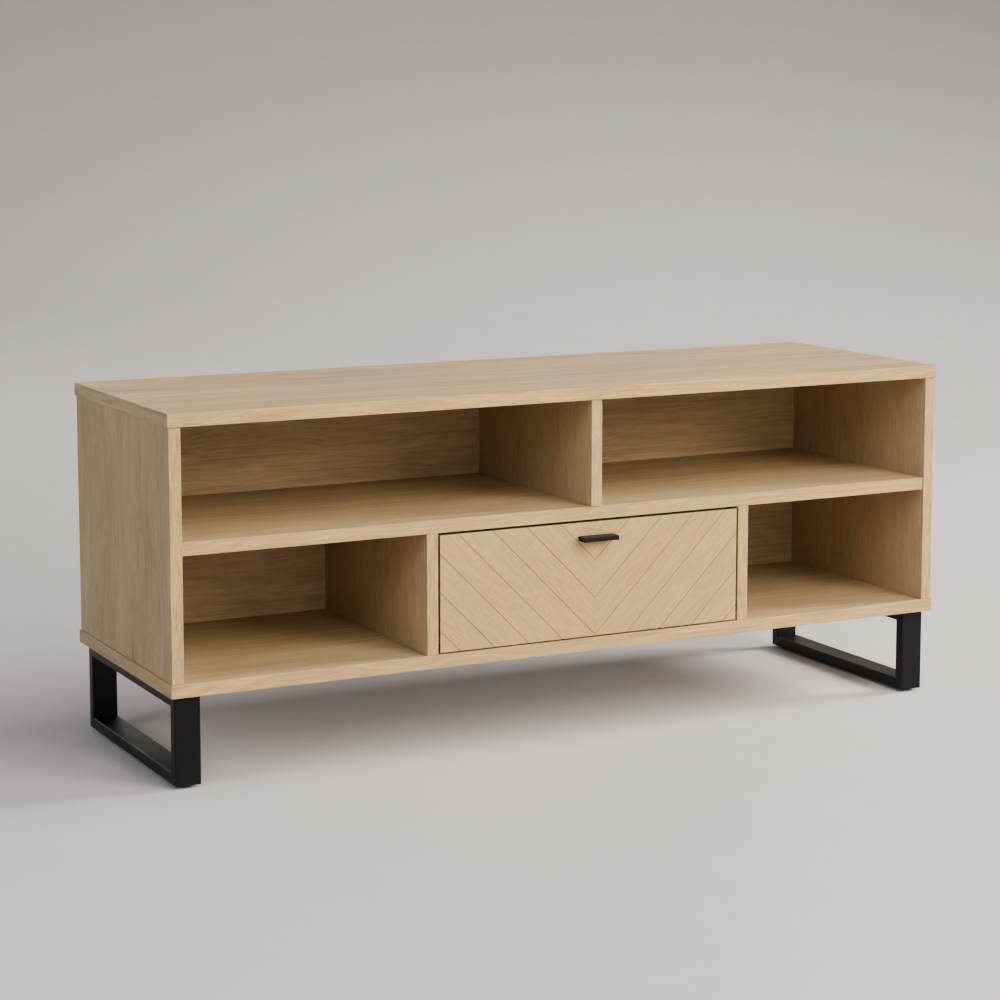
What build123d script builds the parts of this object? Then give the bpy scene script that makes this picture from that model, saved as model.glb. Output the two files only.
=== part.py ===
from build123d import *
import math
import os

# TV stand with one drop-down flap, on two closed steel leg frames.
# Millimetres.  +X runs along the stand to the viewer's right, +Y to the rear, +Z up.
# The origin is at the bottom centre of the whole stand, its flap handle included.

# ---- driving dimensions ------------------------------------------------------------------

# Carcass
width = 1200.0              # top and bottom boards, end to end
board_depth = 378.0         # top and bottom boards, front to rear
body_height = 369.0         # underside of the bottom board to the top of the top board
board_thick = 18.0          # top and bottom boards
shelf_thick = 18.0          # middle shelf
panel_thick = 16.5          # sides and dividers
overhang = 2.0              # boards stand out past the sides, on all four edges
shelf_setback = 2.0         # shelf's front edge behind the sides' front edges
lower_clear = 166.0         # clear height of the lower bays
upper_left_bay = 598.0      # clear width, left side to upper divider
lower_left_bay = 346.0      # clear width, left side to left lower divider
lower_right_bay = 308.0     # clear width, right lower divider to right side
arris = 0.8                 # softened edges of the boards

# Back panel
back_thick = 4.0
back_inset = 30.0           # boards' rear edge to the panel's front face
back_groove = 6.0           # depth of the grooves that hold it
back_play = 0.2             # clearance in the grooves

# Leg frames
leg_height = 120.0
leg_width = 36.0            # tube, across the frame
leg_bar = 16.0              # tube, in the frame's plane
leg_wall = 1.5
leg_radius = 2.0            # tube's outer corners
leg_inset_end = 8.0         # from the boards' ends
leg_inset_front = 13.0      # from the boards' front edge
leg_inset_rear = 15.0       # from the boards' rear edge
leg_screw_inset = 60.0      # outer mounting screws, from the frame's ends
access_hole = 12.0          # driver hole under each mounting screw

# Glides
glide_height = 4.0
glide_diameter = 20.0
glide_inset = 20.0          # from the frame's ends
glide_stem = 8.0            # stem's diameter
glide_stem_length = 7.0

# Flap door
flap_thick = 16.5
flap_gap_side = 3.0
flap_gap_top = 3.0
flap_gap_bottom = 2.0
chevron_pitch = 52.7        # from groove to groove, straight down
chevron_first = 54.0        # top edge down to the first point
chevron_shift = 4.0         # points, right of the flap's middle
groove_width = 1.2
groove_depth = 0.8

# Handle
handle_width = 55.0
handle_out = 19.6
handle_thick = 6.5
handle_drop = 18.2          # flap's top edge to the handle's top face
handle_edge = 0.8           # softened edges
handle_spacing = 32.0       # screw to screw
handle_bite = 8.0           # screw length inside the handle

# Flap hinges: a sprung pin in each end of the flap, turning in a bush in the divider
hinge_back = 7.0            # axis behind the flap's face
hinge_up = 16.0             # axis above the flap's bottom edge
flap_travel = 90.0          # degrees, shut to level
pin_diameter = 6.0
pin_in_bush = 7.0
pin_in_flap = 20.0
bush_diameter = 10.0
bush_length = 9.0
sleeve_diameter = 8.6
sleeve_length = 22.0

# Flap stays: an arm pivots on the flap and slides on a stud in the divider
stay_radius = 100.0         # hinge axis to the pivot, and to the stud
stay_pivot_back = 10.0      # pivot behind the flap's inner face
stay_rest_angle = 18.0      # degrees between pivot and stud, seen from the hinge axis, flap shut
stay_arm_offset = 4.5       # divider's face to the arm
stay_arm_thick = 2.5
stay_arm_width = 14.0
stay_plate_thick = 2.0
stay_plate_width = 24.0
stay_plate_height = 52.0
stay_plate_corner = 4.0
stay_plate_spacing = 35.0   # screw to screw
stay_bracket_thick = 2.0
stay_bracket_width = 30.0
stay_bracket_height = 40.0
stay_bracket_spacing = 25.0 # screw to screw
stay_bracket_screw_in = 18.0 # from the ear
stay_ear_radius = 8.0
stay_pin = 5.0              # rivet's and stud's diameter
stay_head = 9.0
stay_head_thick = 1.0
stay_side_play = 0.5        # beside the arm
slot_play = 0.3             # each side of the stud, in the arm's slot

# Magnetic catch
catch_width = 46.0
catch_depth = 16.0
catch_height = 14.0
catch_gap = 0.3             # magnet to strike plate, flap shut
magnet_width = 24.0
magnet_depth = 6.0
magnet_height = 8.0
strike_width = 40.0
strike_height = 12.0
strike_thick = 1.5
strike_edge = 1.0           # below the flap's top edge
strike_spacing = 27.0       # screw to screw

# Fasteners
dowel_diameter = 8.0
dowel_length = 29.0
dowel_in_board = 11.0
joint_inset = 45.0          # outer dowels and screws, from the panel's front and the back panel
bottom_dowel_inset = 95.0
carcass_screw = 5.0         # diameter
carcass_screw_length = 48.0
carcass_screw_head = 10.0
cam_diameter = 15.0
cam_height = 12.5
cam_setback = 24.0          # disc's centre from the shelf's end
cam_inset = 70.0            # from the shelf's front and rear
cam_bolt = 6.0
cam_bolt_head = 7.0
cam_bolt_thread = 5.0
cam_bolt_bite = 11.0        # thread length inside the side
cam_bolt_neck = 4.0         # the bolt, just behind its head
cam_bolt_head_length = 2.4
cam_bolt_neck_length = 1.2
cam_cross = 7.5             # driver cross in the disc's face
cam_cross_arm = 1.8
cam_cross_depth = 1.5
leg_screw = 4.5
leg_screw_length = 15.0
leg_screw_head = 9.0
small_screw = 3.0           # stays, catch, strike plate and back panel
small_screw_head = 5.6
small_screw_length = 12.0
back_screw_length = 18.0
back_screw_spread = (-0.8, -0.3, 0.3, 0.8)  # along the shelf, as shares of half its length
catch_screw_bite = 9.6      # screw length inside the shelf
handle_screw = 4.0
handle_screw_head = 7.5
dome_share = 0.32           # a domed head's height to its width
cross_share = 0.55          # driver cross to the head's width
cross_arm_share = 0.14
cross_depth_share = 0.6     # of the head's height

# Fits
snug = 0.05                 # radial, pressed, glued and screwed pieces
running = 0.05              # radial, turning pieces
hole_end = 0.5              # spare depth at the bottom of a blind hole

# ---- places worked out from them -----------------------------------------------------------

side_out = width / 2 - overhang
side_in = side_out - panel_thick

front_reach = max(handle_out - overhang, 0.0)
y_front = (front_reach - board_depth) / 2
y_rear = y_front + board_depth
y_panel = y_front + overhang
y_panel_rear = y_rear - overhang
y_shelf = y_panel + shelf_setback
y_back = y_rear - back_inset

z_body = glide_height + leg_height
z_floor = z_body + board_thick
z_shelf = z_floor + lower_clear
z_shelf_top = z_shelf + shelf_thick
z_top = z_body + body_height
z_ceiling = z_top - board_thick

x_upper_divider = -side_in + upper_left_bay
x_lower_left = -side_in + lower_left_bay
x_lower_right = side_in - lower_right_bay - panel_thick
half_panel = panel_thick / 2
x_bay_left = x_lower_left + panel_thick
x_bay_right = x_lower_right

x_flap_left = x_bay_left + flap_gap_side
x_flap_right = x_bay_right - flap_gap_side
z_flap = z_floor + flap_gap_bottom
z_flap_top = z_shelf - flap_gap_top
y_flap_in = y_panel + flap_thick
x_point = (x_flap_left + x_flap_right) / 2 + chevron_shift

y_hinge = y_panel + hinge_back
z_hinge = z_flap + hinge_up

# The pivot and the stud are equally far from the hinge axis, so the arm always turns half as
# far as the flap, and the stud stays on the arm's centre line.
pivot_y = flap_thick - hinge_back + stay_pivot_back
pivot_z = math.sqrt(stay_radius ** 2 - pivot_y ** 2)
pivot_angle = math.degrees(math.atan2(pivot_z, pivot_y))
stud_angle = pivot_angle - stay_rest_angle
stud_y = stay_radius * math.cos(math.radians(stud_angle))
stud_z = stay_radius * math.sin(math.radians(stud_angle))
arm_angle = (pivot_angle + stud_angle) / 2 - 90
stud_near = 2 * stay_radius * math.sin(math.radians(stay_rest_angle / 2))
stud_far = 2 * stay_radius * math.sin(math.radians((stay_rest_angle + flap_travel) / 2))

UP, DOWN = (0, 0, 1), (0, 0, -1)
REAR, FRONT = (0, 1, 0), (0, -1, 0)


# ---- shapes used more than once --------------------------------------------------------------

def slab(x0, x1, y0, y1, z0, z1):
    """A square-edged block between two corners."""
    middle = ((x0 + x1) / 2, (y0 + y1) / 2, (z0 + z1) / 2)
    return Pos(*middle) * Box(x1 - x0, y1 - y0, z1 - z0)


def soft_slab(x0, x1, y0, y1, z0, z1, edge=arris):
    """A block whose edges are all rounded a little."""
    block = slab(x0, x1, y0, y1, z0, z1)
    limit = 0.4 * min(x1 - x0, y1 - y0, z1 - z0)
    return fillet(block.edges(), min(edge, limit))


def rod(start, direction, diameter, length):
    """A cylinder that starts at a point and runs along a direction."""
    bottom = (Align.CENTER, Align.CENTER, Align.MIN)
    return Plane(start, z_dir=direction) * Cylinder(diameter / 2, length, align=bottom)


def hole(start, direction, diameter, depth, play=snug):
    """The cutter of a hole for a rod, begun a little outside the surface."""
    outside = Vector(*start) - Vector(*direction) * hole_end
    return rod(outside, direction, diameter + 2 * play, depth + 2 * hole_end)


def screw(start, direction, diameter, length, head, flush=True):
    """A cross-head screw: its head's seat is at the start, and its point runs on from there."""
    bottom = (Align.CENTER, Align.CENTER, Align.MIN)
    top = (Align.CENTER, Align.CENTER, Align.MAX)
    tip = diameter
    head_height = (head - diameter) / 2 if flush else dome_share * head
    body = Cylinder(diameter / 2, length - tip, align=bottom)
    body += Pos(0, 0, length - tip) * Cone(diameter / 2, diameter / 8, tip, align=bottom)
    if flush:
        body += Cone(head / 2, diameter / 2, head_height, align=bottom)
        face = 0.0
    else:
        dome = Cylinder(head / 2, head_height, align=top)
        dome = fillet(dome.edges().sort_by(Axis.Z)[0], 0.6 * head_height)
        body += dome
        face = -head_height
    for turn in (0, 90):
        arm = Box(cross_share * head, cross_arm_share * head, cross_depth_share * head_height, align=bottom)
        body -= Pos(0, 0, face) * Rot(0, 0, turn) * arm
    return Plane(start, z_dir=direction) * body


def countersink(start, direction, diameter, head):
    """The cutter of a flush screw's seat."""
    height = (head - diameter) / 2
    bottom = (Align.CENTER, Align.CENTER, Align.MIN)
    return Plane(start, z_dir=direction) * Cone(head / 2 + snug, diameter / 2 + snug, height, align=bottom)


def group(pieces):
    """Several separate solids kept in one node."""
    return Compound(children=list(pieces))


def cut(body, cutters):
    """A body less a list of cutters."""
    for cutter in cutters:
        body -= cutter
    return body


def along_panel(count, inset):
    """Places from front to rear, evenly spaced between two insets."""
    first = y_panel + inset
    last = y_back - inset
    return [first + (last - first) * i / (count - 1) for i in range(count)]


# ---- dowels and screws of the carcass ----------------------------------------------------------

def dowel_start(z_joint, board_above):
    """The lower end of a dowel across a joint between a flat board and an upright panel."""
    below = dowel_length - dowel_in_board if board_above else dowel_in_board
    return z_joint - below


def dowels(panel_xs, z_joint, board_above, places):
    """One dowel at each place along each panel."""
    z0 = dowel_start(z_joint, board_above)
    return [rod((x, y, z0), UP, dowel_diameter, dowel_length) for x in panel_xs for y in places]


def dowel_holes(panel_xs, z_joint, board_above, places):
    """The holes that those dowels sit in."""
    z0 = dowel_start(z_joint, board_above)
    return [hole((x, y, z0), UP, dowel_diameter, dowel_length) for x in panel_xs for y in places]


side_xs = [-side_in - half_panel, side_in + half_panel]
upper_xs = [x_upper_divider + half_panel]
lower_xs = [x_lower_left + half_panel, x_lower_right + half_panel]
joint_places = along_panel(3, joint_inset)
bottom_dowel_places = along_panel(2, bottom_dowel_inset)

top_joint = (side_xs + upper_xs, z_ceiling, True, joint_places)
bottom_joint = (side_xs + lower_xs, z_floor, False, bottom_dowel_places)
shelf_top_joint = (upper_xs, z_shelf_top, False, joint_places)
shelf_under_joint = (lower_xs, z_shelf, True, joint_places)

top_holes = dowel_holes(*top_joint)
bottom_holes = dowel_holes(*bottom_joint)
shelf_top_holes = dowel_holes(*shelf_top_joint)
shelf_under_holes = dowel_holes(*shelf_under_joint)

carcass_screw_places = [(x, y, z_body) for x in side_xs + lower_xs for y in joint_places]
carcass_screw_holes = []
for place in carcass_screw_places:
    carcass_screw_holes.append(hole(place, UP, carcass_screw, carcass_screw_length))
    carcass_screw_holes.append(countersink(place, UP, carcass_screw, carcass_screw_head))

# Cam connectors: a bolt in each side is drawn in by a disc under the shelf.
cam_places = [(side, y) for side in (-1, 1) for y in along_panel(2, cam_inset)]
z_cam = z_shelf + shelf_thick / 2
cam_bolt_reach = cam_setback + cam_bolt_head_length


def cam_disc(side, y):
    """The turning disc, with a slot for the bolt's head and a cross in its face."""
    x = side * (side_in - cam_setback)
    disc = rod((x, y, z_shelf), UP, cam_diameter, cam_height)
    slot_start = (x - side * cam_bolt_head, y, z_cam)
    disc -= rod(slot_start, (side, 0, 0), cam_bolt_head + 2 * hole_end, cam_diameter)
    for long_x in True, False:
        a = (cam_cross if long_x else cam_cross_arm) / 2
        b = (cam_cross_arm if long_x else cam_cross) / 2
        disc -= slab(x - a, x + a, y - b, y + b, z_shelf, z_shelf + cam_cross_depth)
    return disc


def cam_bolt_piece(side, y):
    """Threaded end in the side, shank along the shelf, neck and head inside the disc."""
    joint = (side * side_in, y, z_cam)
    inward = (-side, 0, 0)
    head_at = cam_bolt_reach - cam_bolt_head_length
    bolt = rod(joint, (side, 0, 0), cam_bolt_thread, cam_bolt_bite)
    bolt += rod(joint, inward, cam_bolt, head_at - cam_bolt_neck_length)
    bolt += rod(joint, inward, cam_bolt_neck, cam_bolt_reach)
    bolt += rod((side * (side_in - head_at), y, z_cam), inward, cam_bolt_head, cam_bolt_head_length)
    return bolt


def cam_side_holes(side):
    return [hole((side * side_in, y, z_cam), (side, 0, 0), cam_bolt_thread, cam_bolt_bite)
            for s, y in cam_places if s == side]


def cam_shelf_holes():
    cutters = []
    for side, y in cam_places:
        x = side * (side_in - cam_setback)
        cutters.append(hole((x, y, z_shelf), UP, cam_diameter, cam_height))
        channel = cam_setback + cam_bolt_head
        cutters.append(hole((side * side_in, y, z_cam), (-side, 0, 0), cam_bolt_head, channel, 2 * hole_end))
    return cutters


# ---- carcass -------------------------------------------------------------------------------------

back_edge = back_groove - back_play
back_slot = (y_back - back_play, y_back + back_thick + back_play)

board_slot = (-side_in - back_groove, side_in + back_groove)
top_slot = slab(*board_slot, *back_slot, z_ceiling - hole_end, z_ceiling + back_groove)
bottom_slot = slab(*board_slot, *back_slot, z_floor - back_groove, z_floor + hole_end)

top_board = cut(soft_slab(-width / 2, width / 2, y_front, y_rear, z_ceiling, z_top), top_holes + [top_slot])

leg_x = width / 2 - leg_inset_end - leg_width / 2
y_leg = y_front + leg_inset_front
y_leg_rear = y_rear - leg_inset_rear
leg_length = y_leg_rear - y_leg
z_leg_seat = z_body - leg_wall
leg_screw_ys = [y_leg + leg_screw_inset, y_leg + leg_length / 2, y_leg_rear - leg_screw_inset]
leg_screw_places = [(side * leg_x, y, z_leg_seat) for side in (-1, 1) for y in leg_screw_ys]
leg_screw_holes = [hole(place, UP, leg_screw, leg_screw_length) for place in leg_screw_places]

bottom_board = soft_slab(-width / 2, width / 2, y_front, y_rear, z_body, z_floor)
bottom_board = cut(bottom_board, bottom_holes + carcass_screw_holes + leg_screw_holes + [bottom_slot])


def side_panel(side):
    """An outer side, grooved for the back panel."""
    x0, x1 = sorted((side * side_in, side * side_out))
    s0, s1 = sorted((side * (side_in - hole_end), side * (side_in + back_groove)))
    panel = soft_slab(x0, x1, y_panel, y_panel_rear, z_floor, z_ceiling)
    groove = slab(s0, s1, *back_slot, z_floor - hole_end, z_ceiling + hole_end)
    return cut(panel, top_holes + bottom_holes + carcass_screw_holes + cam_side_holes(side) + [groove])


def divider(x0, z0, z1, cutters):
    """An upright between two bays."""
    return cut(soft_slab(x0, x0 + panel_thick, y_panel, y_back, z0, z1), cutters)


middle_shelf = soft_slab(-side_in, side_in, y_shelf, y_back, z_shelf, z_shelf_top)
back_panel = slab(-side_in - back_edge, side_in + back_edge, y_back, y_back + back_thick,
                  z_floor - back_edge, z_ceiling + back_edge)

# The back panel is screwed to the shelf's and the dividers' rear edges.
y_back_rear = y_back + back_thick
shelf_mid = z_shelf + shelf_thick / 2
back_screw_places = [(side_in * share, y_back_rear, shelf_mid) for share in back_screw_spread]
back_screw_places.append((upper_xs[0], y_back_rear, (z_shelf_top + z_ceiling) / 2))
for x in lower_xs:
    back_screw_places.append((x, y_back_rear, (z_floor + z_shelf) / 2))
back_screw_holes = [hole(place, FRONT, small_screw, back_screw_length) for place in back_screw_places]
back_panel = cut(back_panel, back_screw_holes)


# ---- leg frames ------------------------------------------------------------------------------------

def leg_tube(start, direction, length):
    """A rectangular tube, wide along X."""
    section = RectangleRounded(leg_width, leg_bar, leg_radius)
    inner_radius = max(leg_radius - leg_wall, 0.1)
    section -= RectangleRounded(leg_width - 2 * leg_wall, leg_bar - 2 * leg_wall, inner_radius)
    return extrude(Plane(start, x_dir=(1, 0, 0), z_dir=direction) * section, length)


def mitre(x, corners):
    """A prism across the frame whose outline is one member's mitred side view."""
    x0 = x - leg_width
    outline = Polyline(*[(x0, y, z) for y, z in corners], close=True)
    return extrude(make_face(outline), 2 * leg_width, dir=(1, 0, 0))


def leg_members(side):
    """Two rails and two posts, mitred at the corners of a closed frame."""
    x = side * leg_x
    y0, y1, z0, z1 = y_leg, y_leg_rear, glide_height, z_body
    outer = [(y0, z0), (y1, z0), (y1, z1), (y0, z1)]
    inner = [(y0 + leg_bar, z0 + leg_bar), (y1 - leg_bar, z0 + leg_bar),
             (y1 - leg_bar, z1 - leg_bar), (y0 + leg_bar, z1 - leg_bar)]
    half = leg_bar / 2
    tubes = {
        "bottom_rail": (0, leg_tube((x, y0, z0 + half), REAR, leg_length)),
        "rear_post": (1, leg_tube((x, y1 - half, z0), UP, leg_height)),
        "top_rail": (2, leg_tube((x, y0, z1 - half), REAR, leg_length)),
        "front_post": (3, leg_tube((x, y0 + half, z0), UP, leg_height)),
    }
    members = {}
    for name, (corner, tube) in tubes.items():
        after = (corner + 1) % 4
        members[name] = tube & mitre(x, [outer[corner], outer[after], inner[after], inner[corner]])
    for y in leg_screw_ys:
        members["top_rail"] -= hole((x, y, z_leg_seat), UP, leg_screw, leg_wall)
        members["top_rail"] -= rod((x, y, z1 - leg_bar - hole_end), UP, access_hole, leg_wall + 2 * hole_end)
    for y in glide_ys:
        members["bottom_rail"] -= hole((x, y, z0), UP, glide_stem, leg_wall)
    return members


glide_ys = [y_leg + glide_inset, y_leg_rear - glide_inset]


def glide(x, y):
    """A round foot with a stem that pushes into the bottom rail."""
    disc = rod((x, y, 0), UP, glide_diameter, glide_height)
    disc = fillet(disc.edges().sort_by(Axis.Z)[0], glide_height / 4)
    return disc + rod((x, y, glide_height), UP, glide_stem, glide_stem_length)


# ---- flap and its fittings ---------------------------------------------------------------------------

def chevron_groove(z_point):
    """A V-shaped groove across the whole flap, its point at the bottom."""
    reach = x_flap_right - x_flap_left
    half = groove_width * math.sqrt(2) / 2
    y0 = y_panel - groove_depth
    outline = [(-reach, reach + half), (0, half), (reach, reach + half),
               (reach, reach - half), (0, -half), (-reach, reach - half)]
    face = make_face(Polyline(*[(x_point + x, y0, z_point + z) for x, z in outline], close=True))
    return extrude(face, 2 * groove_depth, dir=REAR)


def chevron_points():
    """Heights of the V points, down to the last groove that still crosses the flap."""
    reach = max(x_point - x_flap_left, x_flap_right - x_point)
    heights = []
    z = z_flap_top - chevron_first
    while z + reach > z_flap + groove_width:
        heights.append(z)
        z -= chevron_pitch
    return heights


z_handle = z_flap_top - handle_drop - handle_thick / 2
handle_screw_length = flap_thick + handle_bite
handle_screw_places = [(x_point + s * handle_spacing / 2, y_flap_in, z_handle) for s in (-1, 1)]

strike_top = z_flap_top - strike_edge
z_strike = strike_top - strike_height / 2
strike_screw_places = [(x_point + s * strike_spacing / 2, y_flap_in + strike_thick, z_strike)
                       for s in (-1, 1)]

# Each end of the flap: the divider's face and the direction from the flap to the divider.
ENDS = {"left": (x_bay_left, -1), "right": (x_bay_right, 1)}


def end_x(end, inward):
    """A place measured from a divider's face towards the middle of the flap bay."""
    face, out = ENDS[end]
    return face - out * inward


def hinge_bush(end):
    face, out = ENDS[end]
    bush = rod((face, y_hinge, z_hinge), (out, 0, 0), bush_diameter, bush_length)
    return bush - hole((face, y_hinge, z_hinge), (out, 0, 0), pin_diameter, pin_in_bush, running)


def hinge_bush_hole(end):
    face, out = ENDS[end]
    return hole((face, y_hinge, z_hinge), (out, 0, 0), bush_diameter, bush_length)


def hinge_pin(end):
    out = ENDS[end][1]
    length = pin_in_bush + flap_gap_side + pin_in_flap
    return rod((end_x(end, -pin_in_bush), y_hinge, z_hinge), (-out, 0, 0), pin_diameter, length)


def hinge_sleeve(end):
    out = ENDS[end][1]
    start = (end_x(end, flap_gap_side), y_hinge, z_hinge)
    sleeve = rod(start, (-out, 0, 0), sleeve_diameter, sleeve_length)
    return sleeve - hole(start, (-out, 0, 0), pin_diameter, pin_in_flap)


def hinge_sleeve_hole(end):
    out = ENDS[end][1]
    start = (end_x(end, flap_gap_side), y_hinge, z_hinge)
    return hole(start, (-out, 0, 0), sleeve_diameter, sleeve_length)


y_pivot = y_hinge + pivot_y
z_pivot = z_hinge + pivot_z
y_stud = y_hinge + stud_y
z_stud = z_hinge + stud_z
ear_offset = stay_arm_offset + stay_arm_thick + stay_side_play
bracket_screw_zs = [z_pivot + s * stay_bracket_spacing / 2 for s in (-1, 1)]
plate_screw_zs = [z_stud + s * stay_plate_spacing / 2 for s in (-1, 1)]


def x_span(end, near, far):
    """Two places inward from a divider's face, lower one first."""
    return sorted((end_x(end, near), end_x(end, far)))


def bracket_screw_places(end):
    x = end_x(end, ear_offset + stay_bracket_screw_in)
    return [(x, y_flap_in + stay_bracket_thick, z) for z in bracket_screw_zs]


def plate_screw_places(end):
    return [(end_x(end, stay_plate_thick), y_stud, z) for z in plate_screw_zs]


def stay_bracket(end):
    """An angle on the flap's inner face whose ear carries the arm's pivot."""
    x0, x1 = x_span(end, ear_offset, ear_offset + stay_bracket_width)
    low, high = z_pivot - stay_bracket_height / 2, z_pivot + stay_bracket_height / 2
    base = slab(x0, x1, y_flap_in, y_flap_in + stay_bracket_thick, low, high)
    e0, e1 = x_span(end, ear_offset, ear_offset + stay_bracket_thick)
    ear = slab(e0, e1, y_flap_in, y_pivot, z_pivot - stay_ear_radius, z_pivot + stay_ear_radius)
    ear += rod((e0, y_pivot, z_pivot), (1, 0, 0), 2 * stay_ear_radius, stay_bracket_thick)
    bracket = base + ear - hole((e0, y_pivot, z_pivot), (1, 0, 0), stay_pin, stay_bracket_thick)
    for place in bracket_screw_places(end):
        bracket -= hole(place, FRONT, small_screw, stay_bracket_thick)
        bracket -= countersink(place, FRONT, small_screw, small_screw_head)
    return bracket


def stay_rivet(end):
    """Headed pivot pin through the bracket's ear and the arm."""
    out = ENDS[end][1]
    near = stay_arm_offset - stay_side_play - stay_head_thick
    length = ear_offset + stay_bracket_thick + stay_head_thick - near
    near_head = (end_x(end, near), y_pivot, z_pivot)
    far_head = (end_x(end, ear_offset + stay_bracket_thick), y_pivot, z_pivot)
    pin = rod(near_head, (-out, 0, 0), stay_pin, length)
    pin += rod(near_head, (-out, 0, 0), stay_head, stay_head_thick)
    return pin + rod(far_head, (-out, 0, 0), stay_head, stay_head_thick)


def stay_arm(end):
    """A flat bar with a round hole at the pivot and a long slot for the stud."""
    x0 = x_span(end, stay_arm_offset, stay_arm_offset + stay_arm_thick)[0]
    run = (0, math.cos(math.radians(arm_angle)), math.sin(math.radians(arm_angle)))
    far = stud_far + slot_play
    near = stud_near - slot_play
    bar = Pos(far / 2, 0) * SlotCenterToCenter(far, stay_arm_width)
    slot_width = stay_pin + 2 * slot_play
    slot = Pos((near + far) / 2, 0) * SlotCenterToCenter(far - near, slot_width)
    profile = bar - slot - Circle(stay_pin / 2 + running)
    return extrude(Plane((x0, y_pivot, z_pivot), x_dir=run, z_dir=(1, 0, 0)) * profile, stay_arm_thick)


def stay_plate(end):
    """A plate on the divider that the stud is riveted to."""
    x0, x1 = x_span(end, 0, stay_plate_thick)
    half_y, half_z = stay_plate_width / 2, stay_plate_height / 2
    plate = slab(x0, x1, y_stud - half_y, y_stud + half_y, z_stud - half_z, z_stud + half_z)
    plate = fillet(plate.edges().filter_by(Axis.X), stay_plate_corner)
    plate -= hole((x0, y_stud, z_stud), (1, 0, 0), stay_pin, stay_plate_thick)
    out = ENDS[end][1]
    for place in plate_screw_places(end):
        plate -= hole(place, (out, 0, 0), small_screw, stay_plate_thick)
        plate -= countersink(place, (out, 0, 0), small_screw, small_screw_head)
    return plate


def stay_stud(end):
    """A headed stud, shouldered to hold the arm off the plate."""
    out = ENDS[end][1]
    shoulder = stay_arm_offset - stay_side_play - stay_plate_thick
    pin = rod((end_x(end, 0), y_stud, z_stud), (-out, 0, 0), stay_pin, ear_offset + stay_head_thick)
    pin += rod((end_x(end, stay_plate_thick), y_stud, z_stud), (-out, 0, 0), stay_head, shoulder)
    return pin + rod((end_x(end, ear_offset), y_stud, z_stud), (-out, 0, 0), stay_head, stay_head_thick)


flap_holes = [hinge_sleeve_hole(end) for end in ENDS]
for end in ENDS:
    for place in bracket_screw_places(end):
        flap_holes.append(hole(place, FRONT, small_screw, small_screw_length))
for place in strike_screw_places:
    flap_holes.append(hole(place, FRONT, small_screw, small_screw_length))
for place in handle_screw_places:
    flap_holes.append(hole(place, FRONT, handle_screw, handle_screw_length))

flap_door = soft_slab(x_flap_left, x_flap_right, y_panel, y_flap_in, z_flap, z_flap_top)
flap_door = cut(flap_door, [chevron_groove(z) for z in chevron_points()] + flap_holes)

flap_handle = soft_slab(x_point - handle_width / 2, x_point + handle_width / 2, y_panel - handle_out, y_panel,
                        z_handle - handle_thick / 2, z_handle + handle_thick / 2, handle_edge)
flap_handle = cut(flap_handle, [hole(place, FRONT, handle_screw, handle_screw_length)
                                for place in handle_screw_places])

strike_plate = slab(x_point - strike_width / 2, x_point + strike_width / 2, y_flap_in,
                    y_flap_in + strike_thick, strike_top - strike_height, strike_top)
for place in strike_screw_places:
    strike_plate -= hole(place, FRONT, small_screw, small_screw_length)
    strike_plate -= countersink(place, FRONT, small_screw, small_screw_head)

# ---- magnetic catch under the shelf --------------------------------------------------------------------

y_catch = y_flap_in + strike_thick + catch_gap
z_magnet = z_shelf - catch_height / 2
magnet_box = (x_point - magnet_width / 2, x_point + magnet_width / 2, y_catch, y_catch + magnet_depth,
              z_magnet - magnet_height / 2, z_magnet + magnet_height / 2)
catch_magnet = slab(*magnet_box)
catch_body = soft_slab(x_point - catch_width / 2, x_point + catch_width / 2, y_catch, y_catch + catch_depth,
                       z_shelf - catch_height, z_shelf)
catch_screw_length = catch_height + catch_screw_bite
catch_screw_x = (magnet_width + catch_width) / 4
catch_screw_places = [(x_point + s * catch_screw_x, y_catch + catch_depth / 2, z_shelf - catch_height)
                      for s in (-1, 1)]
catch_holes = [hole(place, UP, small_screw, catch_screw_length) for place in catch_screw_places]
catch_seats = [countersink(place, UP, small_screw, small_screw_head) for place in catch_screw_places]
catch_body = cut(catch_body, catch_holes + catch_seats + [catch_magnet])

# ---- boards that carry the fittings ----------------------------------------------------------------------

shelf_cutters = shelf_top_holes + shelf_under_holes + cam_shelf_holes() + catch_holes + back_screw_holes
middle_shelf = cut(middle_shelf, shelf_cutters)
upper_cutters = top_holes + shelf_top_holes + back_screw_holes
upper_divider = divider(x_upper_divider, z_shelf_top, z_ceiling, upper_cutters)


def flap_bay_divider(end, x0):
    """A lower divider, with the flap's bush and stay plate on its inner face."""
    out = ENDS[end][1]
    cutters = bottom_holes + shelf_under_holes + carcass_screw_holes + back_screw_holes
    cutters.append(hinge_bush_hole(end))
    for place in plate_screw_places(end):
        cutters.append(hole(place, (out, 0, 0), small_screw, small_screw_length))
    return divider(x0, z_floor, z_shelf, cutters)


# ---- every node, one file each -------------------------------------------------------------------------

def screws(places, direction, diameter, length, head, flush=True):
    """One node of like screws."""
    return group(screw(place, direction, diameter, length, head, flush) for place in places)


bracket_places = [place for end in ENDS for place in bracket_screw_places(end)]
plate_screws = [screw(place, (ENDS[end][1], 0, 0), small_screw, small_screw_length, small_screw_head)
                for end in ENDS for place in plate_screw_places(end)]

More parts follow.
